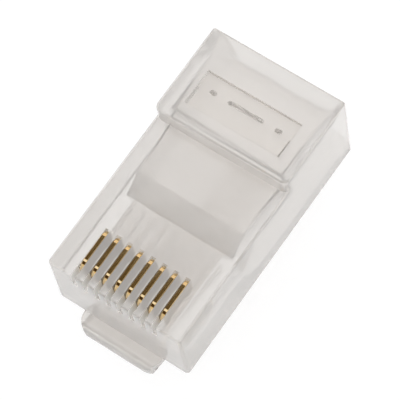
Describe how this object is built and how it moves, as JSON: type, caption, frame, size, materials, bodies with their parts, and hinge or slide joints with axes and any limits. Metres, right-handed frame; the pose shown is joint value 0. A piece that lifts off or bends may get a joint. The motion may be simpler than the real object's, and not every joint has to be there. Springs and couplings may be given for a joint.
{
  "type": "rj45 modular plug",
  "caption": "Clear modular plug for network cable, before crimping: moulded body with gilt contact blades, a jacket cavity and a springy locking lever.",
  "frame": {"origin": "centre of the nose face, halfway between the latch side and the contact side of the nose", "axes": "+Y from the nose to the cable end, +X across the plug, +Z to the contact side"},
  "size_m": [0.0116, 0.0228, 0.0117],
  "materials": {
    "clear_plastic": "clear polycarbonate, polished",
    "gilt_contact": "gold plated, bright"
  },
  "bodies": {
    "plug_body": {"housing": "clear_plastic", "contact_1": "gilt_contact", "contact_2": "gilt_contact", "contact_3": "gilt_contact", "contact_4": "gilt_contact", "contact_5": "gilt_contact", "contact_6": "gilt_contact", "contact_7": "gilt_contact", "contact_8": "gilt_contact"},
    "latch": {"latch_lever": "clear_plastic"}
  },
  "joints": [
    {"name": "latch_bend", "type": "hinge", "parent": "plug_body", "child": "latch", "pos_m": [0, -0.0006, -0.004], "axis": [1, 0, 0], "range_deg": [0, 10], "stiffness_Nm_per_rad": 0.24}
  ]
}
